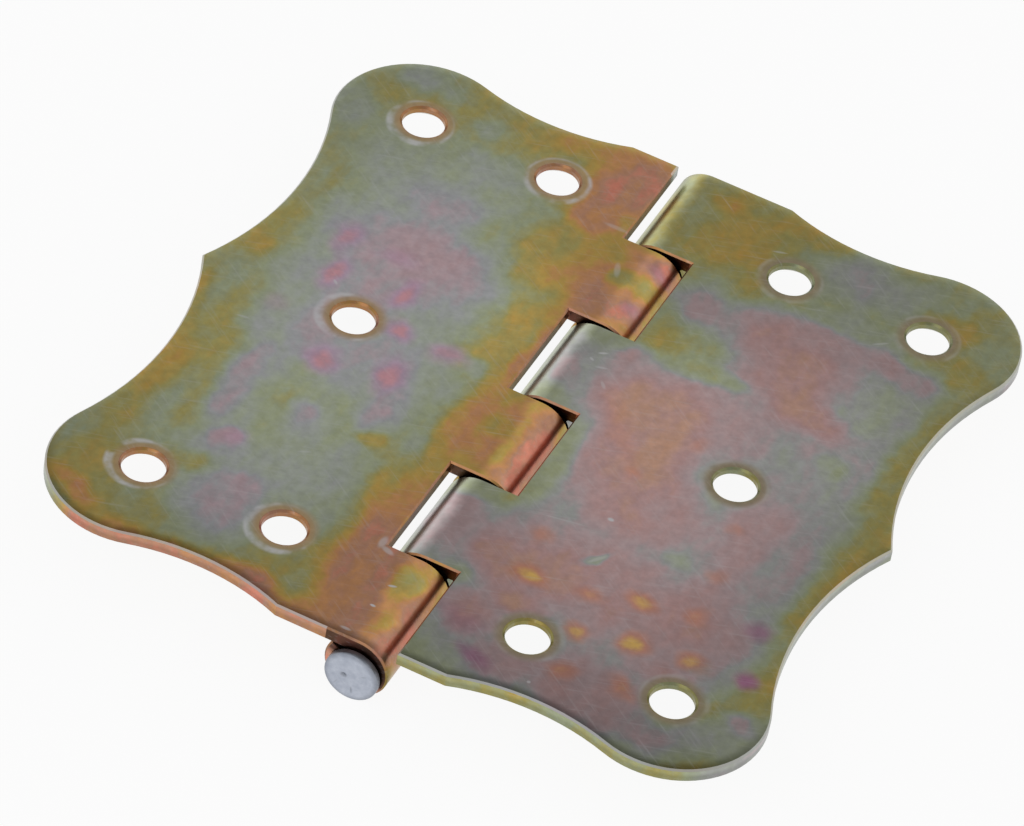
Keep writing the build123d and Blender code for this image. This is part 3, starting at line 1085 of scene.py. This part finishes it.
class HINGE_OT_finish_leaves(bpy.types.Operator):
    """Coat both leaves with the chromate film."""

    bl_idname = "hinge.finish_leaves"
    bl_label = "Finish the leaves"

    def execute(self, context):
        film = context.scene.hinge_film
        coat = context.scene.hinge_coat
        for side, patterns in LEAVES.items():
            settings = [getattr(coat, f"{side}_{name}") for name in SETTINGS]
            leaf = Leaf(*patterns, *settings)
            dress(f"{side}_leaf", chromate_zinc(f"{side} yellow chromate", leaf, film, coat))
        return {"FINISHED"}


class HINGE_OT_finish_pin(bpy.types.Operator):
    """Plate the pin with plain zinc."""

    bl_idname = "hinge.finish_pin"
    bl_label = "Finish the pin"

    def execute(self, context):
        dress("pin", zinc_plate("plain zinc plate", context.scene.hinge_plate))
        return {"FINISHED"}


class HINGE_OT_set_stage(bpy.types.Operator):
    """Lay the white floor, hang the light and place the camera."""

    bl_idname = "hinge.set_stage"
    bl_label = "Set the stage"

    def execute(self, context):
        stage = context.scene.hinge_stage
        context.scene.view_settings.view_transform = "Standard"
        lay_floor(context, stage)
        light_studio(context, stage)
        place_camera(context, stage)
        return {"FINISHED"}


def lay_floor(context, stage):
    """A white floor that takes a faint shadow."""
    material, tree = new_material("white paper")
    path = add_node(tree, "ShaderNodeLightPath")
    seen = add_node(
        tree,
        "ShaderNodeMath",
        {0: path.outputs["Is Camera Ray"], 1: path.outputs["Is Glossy Ray"]},
        operation="MAXIMUM",
    ).outputs[0]
    seen = add_node(
        tree,
        "ShaderNodeMath",
        {0: seen, 1: path.outputs["Is Transmission Ray"]},
        operation="MAXIMUM",
    ).outputs[0]
    share = add_node(tree, "ShaderNodeMath", {0: seen, 1: stage.floor_white}, operation="MULTIPLY").outputs[0]
    paper = add_node(tree, "ShaderNodeBsdfDiffuse", {"Color": PAPER_WHITE})
    white = add_node(tree, "ShaderNodeEmission", {"Color": WHITE, "Strength": 1.0})
    both = add_node(tree, "ShaderNodeMixShader", {0: share, 1: paper.outputs[0], 2: white.outputs[0]})
    add_node(tree, "ShaderNodeOutputMaterial", {"Surface": both.outputs[0]})
    mesh = bpy.data.meshes.new("floor")
    half = stage.floor_width / 2
    corners = [(-half, -half, 0), (half, -half, 0), (half, half, 0), (-half, half, 0)]
    mesh.from_pydata(corners, [], [(0, 1, 2, 3)])
    mesh.materials.append(material)
    floor = bpy.data.objects.new("floor", mesh)
    context.scene.collection.objects.link(floor)


def light_studio(context, stage):
    """A soft dome, brightest near the floor, and a softbox above the camera."""
    world = bpy.data.worlds.new("studio dome")
    world.use_nodes = True
    tree = world.node_tree
    tree.nodes.clear()
    coordinates = add_node(tree, "ShaderNodeTexCoord")
    height = add_node(tree, "ShaderNodeSeparateXYZ", {0: coordinates.outputs["Generated"]}).outputs["Z"]
    low = add_node(
        tree,
        "ShaderNodeMapRange",
        {
            "Value": height,
            "From Max": SLANT_HEIGHT,
            "To Min": stage.dome_low,
            "To Max": stage.dome_slant,
        },
    ).outputs[0]
    level = add_node(
        tree,
        "ShaderNodeMapRange",
        {"Value": height, "From Min": SLANT_HEIGHT, "To Min": low, "To Max": stage.dome_top},
    ).outputs[0]
    dome = add_node(tree, "ShaderNodeBackground", {"Color": WHITE, "Strength": level})
    add_node(tree, "ShaderNodeOutputWorld", {"Surface": dome.outputs[0]})
    context.scene.world = world

    data = bpy.data.lights.new("softbox", "AREA")
    data.size = stage.softbox_width
    data.energy = stage.softbox_power
    softbox = bpy.data.objects.new("softbox", data)
    toward = Vector(SOFTBOX_WAY).normalized()
    softbox.location = toward * stage.softbox_distance
    softbox.rotation_euler = toward.to_track_quat("Z", "Y").to_euler()
    context.scene.collection.objects.link(softbox)


def place_camera(context, stage):
    """Put the camera at the photograph's viewing angle."""
    level = Vector((sin(stage.azimuth), -cos(stage.azimuth), 0))
    back = level * cos(stage.elevation) + Vector((0, 0, 1)) * sin(stage.elevation)
    right = Vector((0, 0, 1)).cross(back).normalized()
    up = back.cross(right)
    turned_right = right * cos(stage.roll) + up * sin(stage.roll)
    turned_up = back.cross(turned_right)
    data = bpy.data.cameras.new("camera")
    data.sensor_fit = "HORIZONTAL"
    data.sensor_width = SENSOR_WIDTH
    data.lens = stage.lens
    data.clip_end = CLIP_END
    camera = bpy.data.objects.new("camera", data)
    axes = Matrix((turned_right, turned_up, back)).transposed()
    camera.matrix_world = Matrix.Translation(Vector(stage.aim) + back * stage.distance) @ axes.to_4x4()
    context.scene.collection.objects.link(camera)
    context.scene.camera = camera


class HINGE_PT_panel(bpy.types.Panel):
    """Lists the steps that dress the hinge."""

    bl_idname = "HINGE_PT_panel"
    bl_label = "Decorative hinge"
    bl_space_type = "VIEW_3D"
    bl_region_type = "UI"
    bl_category = "Hinge"

    def draw(self, context):
        for operator in OPERATORS:
            self.layout.operator(operator.bl_idname)


GROUPS = {
    "hinge_film": HINGE_PG_film,
    "hinge_coat": HINGE_PG_coat,
    "hinge_plate": HINGE_PG_plate,
    "hinge_stage": HINGE_PG_stage,
}
OPERATORS = (HINGE_OT_finish_leaves, HINGE_OT_finish_pin, HINGE_OT_set_stage)
CLASSES = (*GROUPS.values(), *OPERATORS, HINGE_PT_panel)


def register():
    for cls in CLASSES:
        bpy.utils.register_class(cls)
    for name, group in GROUPS.items():
        setattr(bpy.types.Scene, name, bpy.props.PointerProperty(type=group))


def unregister():
    for name in GROUPS:
        delattr(bpy.types.Scene, name)
    for cls in reversed(CLASSES):
        bpy.utils.unregister_class(cls)


def main():
    """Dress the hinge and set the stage."""
    register()
    bpy.ops.hinge.finish_leaves()
    bpy.ops.hinge.finish_pin()
    bpy.ops.hinge.set_stage()


if __name__ == "__main__":
    main()
